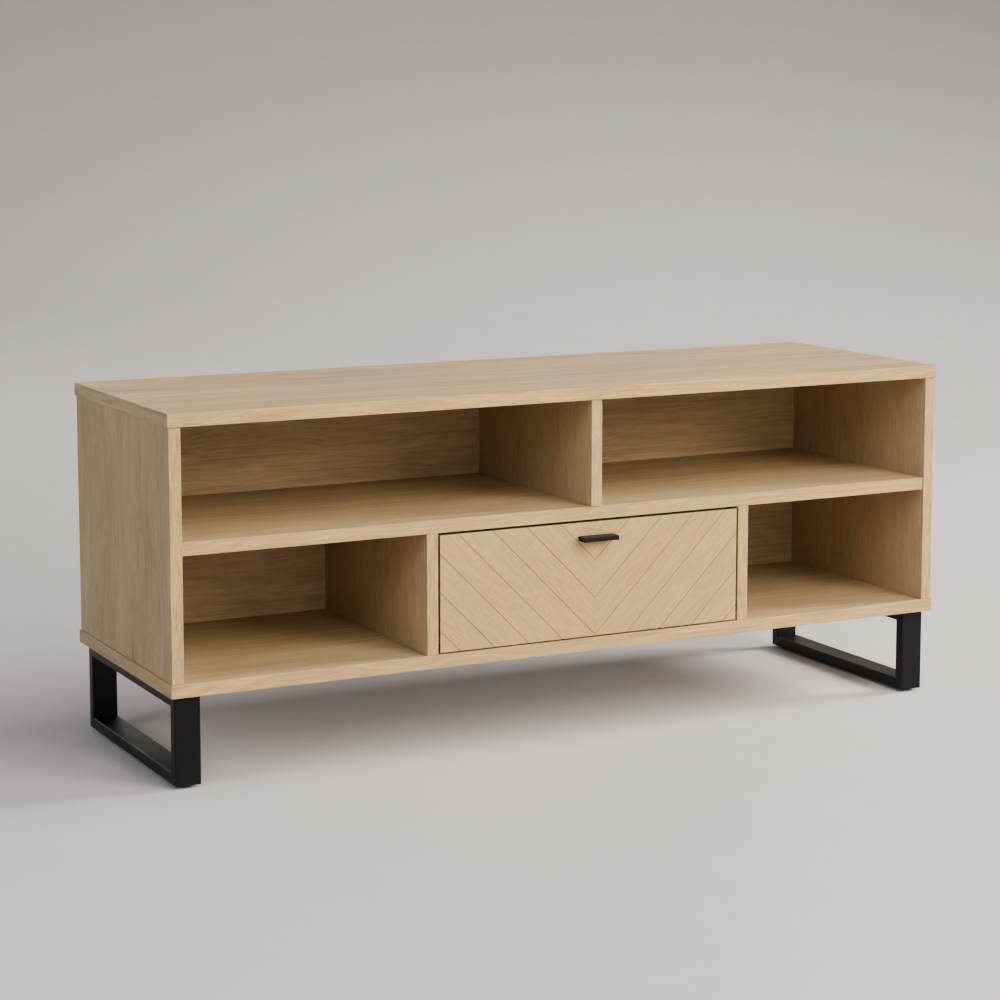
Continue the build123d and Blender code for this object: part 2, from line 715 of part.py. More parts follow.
nodes = {
    "top_board": top_board,
    "bottom_board": bottom_board,
    "side_left": side_panel(-1),
    "side_right": side_panel(1),
    "middle_shelf": middle_shelf,
    "upper_divider": upper_divider,
    "lower_divider_left": flap_bay_divider("left", x_lower_left),
    "lower_divider_right": flap_bay_divider("right", x_lower_right),
    "back_panel": back_panel,
    "top_dowels": group(dowels(*top_joint)),
    "bottom_dowels": group(dowels(*bottom_joint)),
    "shelf_dowels": group(dowels(*shelf_top_joint) + dowels(*shelf_under_joint)),
    "cam_discs": group(cam_disc(*place) for place in cam_places),
    "cam_bolts": group(cam_bolt_piece(*place) for place in cam_places),
    "carcass_screws": screws(carcass_screw_places, UP, carcass_screw, carcass_screw_length,
                             carcass_screw_head),
    "back_panel_screws": screws(back_screw_places, FRONT, small_screw, back_screw_length, small_screw_head,
                                False),
    "leg_mounting_screws": screws(leg_screw_places, UP, leg_screw, leg_screw_length, leg_screw_head, False),
    "floor_glides": group(glide(side * leg_x, y) for side in (-1, 1) for y in glide_ys),
    "flap_door": flap_door,
    "flap_handle": flap_handle,
    "handle_screws": screws(handle_screw_places, FRONT, handle_screw, handle_screw_length,
                            handle_screw_head, False),
    "hinge_bushes": group(hinge_bush(end) for end in ENDS),
    "hinge_pins": group(hinge_pin(end) for end in ENDS),
    "hinge_sleeves": group(hinge_sleeve(end) for end in ENDS),
    "stay_rivets": group(stay_rivet(end) for end in ENDS),
    "stay_studs": group(stay_stud(end) for end in ENDS),
    "stay_bracket_screws": screws(bracket_places, FRONT, small_screw, small_screw_length, small_screw_head),
    "stay_plate_screws": group(plate_screws),
    "catch_body": catch_body,
    "catch_magnet": catch_magnet,
    "catch_screws": screws(catch_screw_places, UP, small_screw, catch_screw_length, small_screw_head),
    "strike_plate": strike_plate,
    "strike_screws": screws(strike_screw_places, FRONT, small_screw, small_screw_length, small_screw_head),
}
for end in ENDS:
    nodes["stay_bracket_" + end] = stay_bracket(end)
    nodes["stay_arm_" + end] = stay_arm(end)
    nodes["stay_plate_" + end] = stay_plate(end)
for side, word in (-1, "left"), (1, "right"):
    for name, member in leg_members(side).items():
        nodes["leg_" + word + "_" + name] = member

os.makedirs("parts", exist_ok=True)
for name, shape in nodes.items():
    export_step(shape, "parts/" + name + ".step")
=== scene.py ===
import math

import bmesh
import bpy
from bpy.props import FloatProperty, FloatVectorProperty, IntProperty, PointerProperty
from mathutils import Euler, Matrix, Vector


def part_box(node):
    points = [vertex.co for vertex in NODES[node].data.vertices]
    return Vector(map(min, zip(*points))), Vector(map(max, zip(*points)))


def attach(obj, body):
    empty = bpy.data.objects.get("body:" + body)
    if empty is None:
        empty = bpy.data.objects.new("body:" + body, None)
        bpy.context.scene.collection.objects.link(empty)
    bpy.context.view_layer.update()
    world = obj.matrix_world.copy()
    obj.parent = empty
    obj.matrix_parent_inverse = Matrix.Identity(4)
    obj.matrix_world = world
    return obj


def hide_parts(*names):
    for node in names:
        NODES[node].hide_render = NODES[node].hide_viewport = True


bl_info = {
    "name": "Oak TV Stand",
    "version": (1, 0, 0),
    "blender": (4, 5, 0),
    "location": "View3D > Sidebar > TV Stand",
    "description": "Dresses the TV stand's frame in oak veneer and black powder-coated steel",
    "category": "Object",
}

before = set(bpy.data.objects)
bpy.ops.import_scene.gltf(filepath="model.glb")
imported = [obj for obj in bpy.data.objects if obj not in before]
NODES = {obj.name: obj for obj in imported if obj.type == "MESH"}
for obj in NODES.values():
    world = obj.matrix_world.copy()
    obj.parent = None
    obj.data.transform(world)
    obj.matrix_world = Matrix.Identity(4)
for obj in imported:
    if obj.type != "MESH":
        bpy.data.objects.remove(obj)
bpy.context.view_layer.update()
MM = 0.001
DIAGONAL = math.sqrt(0.5)

# Boards by the way their grain runs.
BOARDS_ALONG = ("top_board", "bottom_board", "middle_shelf", "back_panel")
BOARDS_UPRIGHT = ("side_left", "side_right", "upper_divider", "lower_divider_left", "lower_divider_right")
# How bold the figure is on the top, the left side and the other uprights, and how far it is drawn out.
TOP_FIGURE = {"streaks": 1.25, "tint": 1.4, "contrast": 1.2}
LEFT_SIDE_FIGURE = {"streaks": 1.4, "tint": 1.7, "contrast": 0.85, "length": 0.5}
UPRIGHT_FIGURE = {"streaks": 0.65, "tint": 1.0, "contrast": 0.8, "length": 0.45}
LEG_FRAMES = [n for n in NODES if n.startswith("leg_") and "screws" not in n]
ZINC_PIECES = ("cam_bolts", "cam_discs", "carcass_screws", "back_panel_screws", "leg_mounting_screws",
               "handle_screws", "stay_rivets", "stay_studs", "stay_bracket_screws",
               "stay_plate_screws", "catch_screws", "strike_screws", "strike_plate", "stay_bracket_left",
               "stay_bracket_right", "stay_arm_left", "stay_arm_right", "stay_plate_left", "stay_plate_right")

# How far each pattern of the oak's figure lightens and darkens the wood.
BROAD_SHARE, STREAK_SHARE, LINE_SHARE, FIBRE_SHARE = 0.10, 0.17, 0.21, 0.15
# Tones that the figure lays over the wood's mean colour.
OLIVE_TONE = (0.955, 1.03, 0.98, 1.0)
ROSY_TONE = (1.048, 0.978, 1.02, 1.0)
FLECK_TONE = (1.14, 1.13, 1.10, 1.0)
OAK_SHEEN = 0.22
# The edging along a front is cut across many growth rings, so its lines are fine and bold.
EDGING_CONTRAST, EDGING_STREAKS = 1.3, 0.35
# The flap's planks have a short, calm figure and differ slightly in tone from one to the next.
PLANK_LENGTH, PLANK_CONTRAST, PLANK_STREAKS, PLANK_TINT, PLANK_FLECKS = 1 / 2.6, 0.85, 0.35, 0.9, 0.5
PLANK_TONES = (0.97, 1.03)
# How far the bottom of each groove is darkened by painted shade.
GROOVE_SHADE_SHARE = 0.6
# How deep each end of the flap is bored for its hinge pin.
PIN_BORE_DEPTH = 22 * MM
# Tints of the lights: warm softboxes, and one on the left as cool as a window.
WARM_LIGHT = (1.015, 0.934, 0.832)
COOL_LIGHT = (0.94, 0.97, 1.09)


# ---- settings a user would change ------------------------------------------------------------

def colour(name, description, default, most=1.0):
    """A colour that the user can change."""
    return FloatVectorProperty(name=name, description=description, default=default, size=4,
                               subtype="COLOR", min=0.0, max=most)


class OakSettings(bpy.types.PropertyGroup):
    """The veneer's colour, figure and lacquer."""
    wood: colour("Oak", "Mean colour of the veneer", (0.345, 0.241, 0.1256, 1.0))
    pore: colour("Pores", "Colour of the open pores", (0.15, 0.09, 0.045, 1.0))
    # Painted shade at the bottom of the flap's grooves.
    groove: colour("Groove", "Colour at the bottom of the flap's grooves", (0.069, 0.066, 0.045, 1.0))
    # Painted light: the front edges and the flap's front are made brighter and warmer than the boards' faces,
    # for the strong light on the front.
    edging_painted_light: colour("Edging Painted Light", "Tone of the front edging and the flap beside the boards' faces",
                   (1.172, 1.11, 0.891, 1.0), most=2.0)
    # Painted shade: the flap's edges are darkened for the deep shadow in the gap round the flap.
    gap_shade: colour("Edge Painted Shade", "Painted Shade over the wood of the edges round the flap", (0.235, 0.225, 0.26, 1.0))
    contrast: FloatProperty(name="Figure", description="How far light and dark streaks differ",
                            default=1.0, min=0.0, max=3.0)
    tint: FloatProperty(name="Tint", description="How far rosy and olive streaks differ",
                        default=1.0, min=0.0, max=3.0)
    roughness: FloatProperty(name="Roughness", description="Roughness of the matt lacquer",
                             default=0.55, min=0.0, max=1.0, subtype="FACTOR")


class FlapSettings(bpy.types.PropertyGroup):
    """The chevron on the flap."""
    first_point: FloatProperty(name="First Point", description="Flap's top edge down to the first point",
                               default=54.0 * MM, min=0.0, unit="LENGTH")
    pitch: FloatProperty(name="Pitch", description="From one point down to the next",
                         default=52.7 * MM, min=5.0 * MM, unit="LENGTH")
    grooves: IntProperty(name="Grooves", description="How many grooves cross each half", default=7, min=1)
    groove_width: FloatProperty(name="Groove Width", description="Width of a groove at the face",
                                default=1.2 * MM, min=0.1 * MM, unit="LENGTH")
    groove_depth: FloatProperty(name="Groove Depth", description="Depth of a groove",
                                default=0.8 * MM, min=0.1 * MM, unit="LENGTH")
    arris: FloatProperty(name="Arris", description="Chamfer round the flap's edges",
                         default=0.6 * MM, min=0.0, unit="LENGTH")
    seam: FloatProperty(name="Seam", description="Chamfer where the two halves meet",
                        default=0.15 * MM, min=0.0, unit="LENGTH")


class MetalSettings(bpy.types.PropertyGroup):
    """Powder coat and bright metal."""
    coat: colour("Powder Coat", "Colour of the leg frames", (0.0022, 0.0024, 0.0028, 1.0))
    handle: colour("Handle", "Colour of the flap's handle", (0.0022, 0.0022, 0.0029, 1.0))
    zinc: colour("Zinc", "Colour of the plated screws and stays", (0.56, 0.57, 0.58, 1.0))
    brass: colour("Brass", "Colour of the hinge sleeves", (0.66, 0.46, 0.18, 1.0))
    coat_roughness: FloatProperty(name="Coat Roughness", description="Roughness of the powder coat",
                                  default=0.42, min=0.0, max=1.0)


class StageSettings(bpy.types.PropertyGroup):
    """Floor, light and camera."""
    floor: colour("Floor", "Colour of the seamless floor and backdrop", (0.4365, 0.4246, 0.430, 1.0))
    sky: colour("Sky", "Colour of the even light all round", (1.0, 0.985, 0.975, 1.0))
    sky_strength: FloatProperty(name="Sky Strength", description="Strength of the even light",
                                default=0.008, min=0.0)
    light_power: FloatProperty(name="Light Power", description="Power that each softbox is a share of",
                               default=100.0, min=0.0, unit="POWER")
    camera_place: FloatVectorProperty(name="Camera Place", description="Where the camera stands", size=3,
                                      default=(-1.675, -3.185, 0.913), subtype="TRANSLATION", unit="LENGTH")
    camera_yaw: FloatProperty(name="Camera Yaw", description="Turn from straight ahead towards the right end",
                              default=math.radians(27.26), subtype="ANGLE")
    camera_pitch: FloatProperty(name="Camera Pitch", description="Tilt below the horizon",
                                default=math.radians(7.24), subtype="ANGLE")
    camera_lens: FloatProperty(name="Focal Length", description="The lens, in millimetres", default=91.0)
    camera_shift: FloatProperty(name="Shift", description="Lens shift, as a share of the frame",
                                default=-0.10)


# ---- node trees ------------------------------------------------------------------------------

class Tree:
    """Adds nodes to a tree and joins them, so that a material reads as a list of steps."""

    def __init__(self, tree):
        self.tree = tree

    def add(self, kind, **values):
        node = self.tree.nodes.new(kind)
        for key, value in values.items():
            setattr(node, key, value)
        return node

    def feed(self, socket, value):
        """Joins an output to a socket, or sets the socket's own value."""
        if isinstance(value, bpy.types.NodeSocket):
            self.tree.links.new(value, socket)
        elif value is not None:
            socket.default_value = value

    def math(self, operation, a, b=None, c=None):
        node = self.add("ShaderNodeMath", operation=operation)
        for socket, value in zip(node.inputs, (a, b, c)):
            self.feed(socket, value)
        return node.outputs[0]

    def vector(self, operation, a, b=None):
        """Arithmetic on vectors that gives a vector."""
        node = self.add("ShaderNodeVectorMath", operation=operation)
        self.feed(node.inputs[0], a)
        self.feed(node.inputs[1], b)
        return node.outputs["Vector"]

    def mix_vectors(self, share, a, b):
        node = self.add("ShaderNodeMix", data_type="VECTOR")
        self.feed(node.inputs[0], share)
        self.feed(node.inputs[4], a)
        self.feed(node.inputs[5], b)
        return node.outputs[1]

    def mix(self, share, a, b, blend="MIX"):
        """Mixes two colours, or lays the second over the first by another blend."""
        node = self.add("ShaderNodeMix", data_type="RGBA", blend_type=blend)
        self.feed(node.inputs[0], share)
        self.feed(node.inputs[6], a)
        self.feed(node.inputs[7], b)
        return node.outputs[2]

    def steps(self, value, low, high, to_low=0.0, to_high=1.0):
        """Takes low to to_low and high to to_high, and holds the ends beyond them."""
        node = self.add("ShaderNodeMapRange", clamp=True)
        for socket, v in zip(node.inputs, (value, low, high, to_low, to_high)):
            self.feed(socket, v)
        return node.outputs[0]

    def noise(self, vector, scale, detail=2.0, roughness=0.5):
        node = self.add("ShaderNodeTexNoise", noise_dimensions="3D")
        for name, value in (("Vector", vector), ("Scale", scale), ("Detail", detail),
                            ("Roughness", roughness)):
            self.feed(node.inputs[name], value)
        return node.outputs["Fac"]

    def stretch(self, vector, x, y, z):
        """Scales a pattern's coordinates, which shrinks the pattern by as much."""
        return self.vector("MULTIPLY", vector, (x, y, z))

    def split(self, vector):
        node = self.add("ShaderNodeSeparateXYZ")
        self.feed(node.inputs[0], vector)
        return node.outputs

    def join(self, x, y, z):
        node = self.add("ShaderNodeCombineXYZ")
        for socket, value in zip(node.inputs, (x, y, z)):
            self.feed(socket, value)
        return node.outputs[0]


def shader_group(name, inputs, outputs):
    """A shader node group with its sockets, once for the whole scene."""
    group = bpy.data.node_groups.new(name, "ShaderNodeTree")
    for label, kind, default in inputs:
        socket = group.interface.new_socket(label, in_out="INPUT", socket_type=kind)
        if default is not None:
            socket.default_value = default
    for label, kind in outputs:
        group.interface.new_socket(label, in_out="OUTPUT", socket_type=kind)
    tree = Tree(group)
    return group, tree, tree.add("NodeGroupInput").outputs, tree.add("NodeGroupOutput").inputs


def grain_coordinates():
    """Turns a board's coordinates so that the grain runs along X on every face."""
    if "Grain Coordinates" in bpy.data.node_groups:
        return bpy.data.node_groups["Grain Coordinates"]
    group, t, given, result = shader_group(
        "Grain Coordinates",
        [("Place", "NodeSocketVector", None), ("Face", "NodeSocketVector", None),
         ("Upright", "NodeSocketFloat", 0.0), ("Sheet", "NodeSocketVector", None)],
        [("Along Grain", "NodeSocketVector")])
    x, y, z = t.split(given["Place"])
    along_board = t.mix_vectors(given["Upright"], given["Place"], t.join(z, y, x))
    # A board's ends carry edging, whose grain runs from front to rear.
    facing = t.split(t.vector("ABSOLUTE", given["Face"]))
    faces_end, faces_up = (t.math("GREATER_THAN", facing[axis], 0.75) for axis in (0, 2))
    lying_end = t.math("MULTIPLY", faces_end, t.math("SUBTRACT", 1.0, given["Upright"]))
    upright_end = t.math("MULTIPLY", faces_up, given["Upright"])
    turned = t.mix_vectors(t.math("ADD", lying_end, upright_end), along_board, t.join(y, x, z))
    t.feed(result["Along Grain"], t.vector("ADD", turned, given["Sheet"]))
    return group


def oak_figure():
    """Oak seen along its grain: broad rosy and olive streaks, fine lines, fibres, flecks and pores."""
    if "Oak Figure" in bpy.data.node_groups:
        return bpy.data.node_groups["Oak Figure"]
    group, t, given, result = shader_group(
        "Oak Figure",
        [("Along Grain", "NodeSocketVector", None), ("Wood", "NodeSocketColor", None),
         ("Pore", "NodeSocketColor", None), ("Contrast", "NodeSocketFloat", 1.0),
         ("Streaks", "NodeSocketFloat", 1.0), ("Tint", "NodeSocketFloat", 1.0),
         ("Flecks", "NodeSocketFloat", 0.3), ("Roughness", "NodeSocketFloat", 0.5)],
        [("Colour", "NodeSocketColor"), ("Roughness", "NodeSocketFloat"), ("Height", "NodeSocketFloat")])
    v = given["Along Grain"]

    def spread(along, across, detail, roughness=0.5, source=v):
        """A pattern from -1 to 1, with so many streaks to the metre along and across the grain."""
        fac = t.noise(t.stretch(source, along, across, across), 1.0, detail, roughness)
        return t.steps(fac, 0.25, 0.75, -1.0, 1.0)

    drift = t.noise(t.stretch(v, 2.2, 7.0, 7.0), 1.0, 2.0)
    wander = t.math("MULTIPLY", t.math("SUBTRACT", drift, 0.5), 0.07)
    bent = t.vector("ADD", v, t.join(0.0, wander, wander))
    broad = spread(1.3, 15.0, 2.0, source=bent)
    streak = spread(2.4, 58.0, 3.0, 0.6, source=bent)
    line = spread(8.0, 260.0, 2.0, 0.6, source=bent)
    fibre = spread(22.0, 800.0, 2.0, 0.6)
    hue = spread(2.6, 42.0, 3.0, 0.6, source=t.vector("ADD", bent, (3.1, 1.7, 0.9)))
    tone = t.math("MULTIPLY_ADD", streak, STREAK_SHARE, t.math("MULTIPLY", broad, BROAD_SHARE))
    tone = t.math("MULTIPLY", tone, given["Streaks"])
    for pattern, share in ((line, LINE_SHARE), (fibre, FIBRE_SHARE)):
        tone = t.math("MULTIPLY_ADD", pattern, share, tone)
    tone = t.math("MULTIPLY_ADD", tone, given["Contrast"], 1.0)
    # Broad pale bands lean to olive and broad dark ones to rose.
    hue = t.math("MULTIPLY_ADD", broad, -0.8, hue)
    rose = t.steps(t.math("MULTIPLY", hue, given["Tint"]), -1.0, 1.0)
    tinted = t.mix(1.0, given["Wood"], t.mix(rose, OLIVE_TONE, ROSY_TONE), "MULTIPLY")
    wood = t.mix(1.0, tinted, t.join(tone, tone, tone), "MULTIPLY")
    # Short ray flecks, paler than the wood, and open pores, darker, in the denser streaks.
    fleck = t.steps(t.noise(t.stretch(v, 65.0, 300.0, 300.0), 1.0, 2.0, 0.5), 0.56, 0.70)
    wood = t.mix(t.math("MULTIPLY", fleck, given["Flecks"]), wood, FLECK_TONE, "MULTIPLY")
    pore = t.steps(t.noise(t.stretch(v, 110.0, 1900.0, 1900.0), 1.0, 1.0, 0.5), 0.57, 0.68)
    pore = t.math("MULTIPLY", pore, t.steps(t.math("SUBTRACT", line, streak), -0.8, 1.2, 0.1, 0.55))
    t.feed(result["Colour"], t.mix(pore, wood, given["Pore"]))
    rough = t.math("MULTIPLY_ADD", fibre, 0.05, given["Roughness"])
    t.feed(result["Roughness"], t.math("MULTIPLY_ADD", pore, 0.15, rough))
    height = t.math("MULTIPLY_ADD", fibre, 0.35, t.math("MULTIPLY", line, 0.35))
    t.feed(result["Height"], t.math("SUBTRACT", height, t.math("MULTIPLY", pore, 1.5)))
    return group


def chevron_coordinates():
    """Folds the flap about the points' line and turns it, so that each plank lies along X."""
    if "Chevron Coordinates" in bpy.data.node_groups:
        return bpy.data.node_groups["Chevron Coordinates"]
    group, t, given, result = shader_group(
        "Chevron Coordinates",
        [("Place", "NodeSocketVector", None), ("Point", "NodeSocketFloat", 0.0),
         ("First", "NodeSocketFloat", 0.0), ("Pitch", "NodeSocketFloat", 0.05)],
        [("Along Plank", "NodeSocketVector"), ("Chance", "NodeSocketFloat"),
         ("From Groove", "NodeSocketFloat")])
    x, y, z = t.split(given["Place"])
    from_point = t.math("SUBTRACT", x, given["Point"])
    side = t.math("SIGN", from_point)
    out = t.math("ABSOLUTE", from_point)
    up = t.math("SUBTRACT", z, given["First"])
    along = t.math("MULTIPLY", t.math("ADD", out, up), DIAGONAL)
    rise = t.math("SUBTRACT", up, out)
    across = t.math("MULTIPLY", rise, DIAGONAL)
    plank = t.math("FLOOR", t.math("DIVIDE", rise, given["Pitch"]))
    chance = t.add("ShaderNodeTexWhiteNoise", noise_dimensions="2D")
    t.feed(chance.inputs["Vector"], t.join(plank, t.math("MULTIPLY", side, 3.0), 0.0))
    shift = t.math("MULTIPLY", chance.outputs["Value"], 9.0)
    # Each plank is cut from its own place in the veneer.
    t.feed(result["Along Plank"], t.join(t.math("ADD", along, shift), t.math("ADD", across, shift), y))
    t.feed(result["Chance"], chance.outputs["Value"])
    in_plank = t.math("FRACT", t.math("DIVIDE", rise, given["Pitch"]))
    nearest = t.math("MINIMUM", in_plank, t.math("SUBTRACT", 1.0, in_plank))
    rise_to_groove = t.math("MULTIPLY", nearest, given["Pitch"])
    t.feed(result["From Groove"], t.math("MULTIPLY", rise_to_groove, DIAGONAL))
    return group


def fine_speckle():
    """The pebbled skin of powder coat or moulded plastic."""
    if "Fine Speckle" in bpy.data.node_groups:
        return bpy.data.node_groups["Fine Speckle"]
    group, t, given, result = shader_group(
        "Fine Speckle",
        [("Place", "NodeSocketVector", None), ("Colour", "NodeSocketColor", None),
         ("Grain Size", "NodeSocketFloat", 0.0008), ("Roughness", "NodeSocketFloat", 0.4)],
        [("Colour", "NodeSocketColor"), ("Roughness", "NodeSocketFloat"), ("Height", "NodeSocketFloat")])
    scale = t.math("DIVIDE", 1.0, given["Grain Size"])
    pebble = t.noise(given["Place"], scale, 2.0, 0.5)
    cloud = t.noise(given["Place"], 14.0, 3.0, 0.6)
    tone = t.math("ADD", t.steps(pebble, 0.3, 0.7, 0.88, 1.12), t.steps(cloud, 0.3, 0.7, -0.08, 0.08))
    t.feed(result["Colour"], t.mix(1.0, given["Colour"], t.join(tone, tone, tone), "MULTIPLY"))
    rough = t.math("ADD", given["Roughness"], t.steps(cloud, 0.3, 0.7, -0.05, 0.05))
    t.feed(result["Roughness"], rough)
    t.feed(result["Height"], pebble)
    return group


def new_material(name):
    """An empty material with its shader, ready for colour, roughness and bump."""
    material = bpy.data.materials.new(name)
    material.use_nodes = True
    material.node_tree.nodes.clear()
    t = Tree(material.node_tree)
    shader = t.add("ShaderNodeBsdfPrincipled")
    output = t.add("ShaderNodeOutputMaterial")
    t.feed(output.inputs["Surface"], shader.outputs[0])
    place = t.add("ShaderNodeTexCoord")
    return material, t, shader, place


def place_group(t, group, **values):
    """Places a node group with its own values, and returns its outputs."""
    node = t.add("ShaderNodeGroup", node_tree=group)
    for name, value in values.items():
        t.feed(node.inputs[name.replace("_", " ")], value)
    return node.outputs


def bump(t, shader, height, depth, strength):
    """Joins a height to a shader's normal."""
    node = t.add("ShaderNodeBump")
    t.feed(node.inputs["Strength"], strength)
    t.feed(node.inputs["Distance"], depth)
    t.feed(node.inputs["Height"], height)
    t.feed(shader.inputs["Normal"], node.outputs[0])


def oak_skin(t, shader, oak, along, contrast, streaks, tint, flecks=0.3):
    """Joins the oak figure's roughness and bump to a shader, and returns its colour."""
    figure = place_group(t, oak_figure(), Along_Grain=along, Wood=tuple(oak.wood), Pore=tuple(oak.pore),
                         Contrast=contrast, Streaks=streaks, Tint=tint * oak.tint, Flecks=flecks,
                         Roughness=oak.roughness)
    t.feed(shader.inputs["Roughness"], figure["Roughness"])
    bump(t, shader, figure["Height"], 0.1 * MM, 0.3)
    shader.inputs["Specular IOR Level"].default_value = OAK_SHEEN
    return figure["Colour"]


def oak_board_material(name, upright, sheet, streaks=1.0, tint=1.0, contrast=1.0, length=1.0):
    """Oak veneer for one board, cut from its own place in the sheet, its figure so many times as long."""
    oak = bpy.context.scene.oak_settings
    material, t, shader, place = new_material(name)
    grain = place_group(t, grain_coordinates(), Place=place.outputs["Object"], Face=place.outputs["Normal"],
                        Upright=1.0 if upright else 0.0, Sheet=sheet)
    contrast = contrast * oak.contrast
    # Every board but the back panel carries an edge band along its front, whose front faces also take a
    # brighter, warmer tone that is painted light.
    front = 0.0
    if name != "veneer_back_panel":
        front = t.steps(t.split(t.vector("ABSOLUTE", place.outputs["Normal"]))[1], 0.6, 0.8)
        contrast = t.steps(front, 0.0, 1.0, contrast, EDGING_CONTRAST * oak.contrast)
        streaks = t.steps(front, 0.0, 1.0, streaks, EDGING_STREAKS)
    along = t.stretch(grain["Along Grain"], 1.0 / length, 1.0, 1.0)
    wood = oak_skin(t, shader, oak, along, contrast, streaks, tint)
    # Painted light: the front faces are multiplied by the brighter, warmer tone.
    t.feed(shader.inputs["Base Color"], t.mix(front, wood, tuple(oak.edging_painted_light), "MULTIPLY"))
    return material


def oak_chevron_material():
    """Oak planks laid in a chevron, with painted light on their front, painted shade in the grooves between
    them and on the flap's edges.
    """
    oak, flap = bpy.context.scene.oak_settings, bpy.context.scene.flap_settings
    low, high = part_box("flap_door")
    material, t, shader, place = new_material("chevron_veneer")
    planks = place_group(t, chevron_coordinates(), Place=place.outputs["Object"],
                         Point=middle_of("flap_handle").x, First=high.z - flap.first_point, Pitch=flap.pitch)
    # The inner face is one plain sheet; only the front is laid in planks.
    inner = t.steps(t.split(place.outputs["Normal"])[1], 0.5, 0.7)
    in_plank = t.stretch(planks["Along Plank"], 1.0 / PLANK_LENGTH, 1.0, 1.0)
    along = t.mix_vectors(inner, in_plank, place.outputs["Object"])
    wood = oak_skin(t, shader, oak, along, PLANK_CONTRAST * oak.contrast, PLANK_STREAKS, PLANK_TINT,
                    PLANK_FLECKS)
    tone = t.steps(planks["Chance"], 0.0, 1.0, *PLANK_TONES)
    # Painted light: the flap's front takes the same brighter, warmer tone as the boards' fronts.
    tone = t.mix(1.0, t.join(tone, tone, tone), tuple(oak.edging_painted_light), "MULTIPLY")
    wood = t.mix(t.math("SUBTRACT", 1.0, inner), wood, tone, "MULTIPLY")
    # Painted shade darkens the bottom of the grooves; it fades out past their lips, and stays off the inner
    # face.
    in_groove = t.steps(planks["From Groove"], 0.25 * flap.groove_width, 0.62 * flap.groove_width,
                        1.0, 0.0)
    near_front = t.steps(t.split(place.outputs["Object"])[1], low.y + 1.5 * flap.groove_depth,
                         low.y + 2.0 * flap.groove_depth, 1.0, 0.0)
    groove = t.math("MULTIPLY", in_groove, near_front)
    wood = t.mix(t.math("MULTIPLY", groove, GROOVE_SHADE_SHARE), wood, tuple(oak.groove))
    # The edges all round the flap are darkened: painted shade for the deep shadow in the gap round it.
    facing = t.split(t.vector("ABSOLUTE", place.outputs["Normal"]))[1]
    edge = t.steps(facing, 0.4, 0.6, 1.0, 0.0)
    t.feed(shader.inputs["Base Color"], t.mix(edge, wood, tuple(oak.gap_shade), "MULTIPLY"))
    return material


def speckled_material(name, tint, roughness, metallic=0.0, grain=0.8 * MM, shine=0.5):
    """Powder coat, moulded plastic or plated metal."""
    material, t, shader, place = new_material(name)
    skin = place_group(t, fine_speckle(), Place=place.outputs["Object"], Colour=tuple(tint),
                       Grain_Size=grain, Roughness=roughness)
    t.feed(shader.inputs["Base Color"], skin["Colour"])
    t.feed(shader.inputs["Roughness"], skin["Roughness"])
    shader.inputs["Metallic"].default_value = metallic
    shader.inputs["Specular IOR Level"].default_value = shine
    bump(t, shader, skin["Height"], 0.06 * MM, 0.25)
    return material


def middle_of(node):
    """The middle of a CAD node's box."""
    low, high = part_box(node)
    return (low + high) / 2


def geometry_tree(name, inputs):
    """A Geometry Nodes tree with its named inputs, and the socket its result goes to."""
    tree = bpy.data.node_groups.new(name, "GeometryNodeTree")
    for label, kind, default in inputs:
        socket = tree.interface.new_socket(label, in_out="INPUT", socket_type=kind)
        if default is not None:
            socket.default_value = default
    tree.interface.new_socket("Geometry", in_out="OUTPUT", socket_type="NodeSocketGeometry")
    t = Tree(tree)
    return tree, t, t.add("NodeGroupInput").outputs, t.add("NodeGroupOutput").inputs["Geometry"]


def made_by(tree, name, **values):
    """Runs a Geometry Nodes tree once and keeps what it makes as a plain mesh."""
    holder = bpy.data.objects.new(name + "_tree", bpy.data.meshes.new(name + "_tree"))
    bpy.context.scene.collection.objects.link(holder)
    modifier = holder.modifiers.new(name, "NODES")
    modifier.node_group = tree
    sockets = {s.name: s.identifier for s in tree.interface.items_tree if s.in_out == "INPUT"}
    for label, value in values.items():
        modifier[sockets[label.replace("_", " ")]] = value
    depsgraph = bpy.context.evaluated_depsgraph_get()
    mesh = bpy.data.meshes.new_from_object(holder.evaluated_get(depsgraph), depsgraph=depsgraph)
    mesh.name = name
    bpy.data.objects.remove(holder)
    used = [m for m in mesh.materials if m]
    mesh.materials.clear()
    for material in used:
        mesh.materials.append(material)
    for face in mesh.polygons:
        face.material_index = 0
    piece = bpy.data.objects.new(name, mesh)
    bpy.context.scene.collection.objects.link(piece)
    return piece


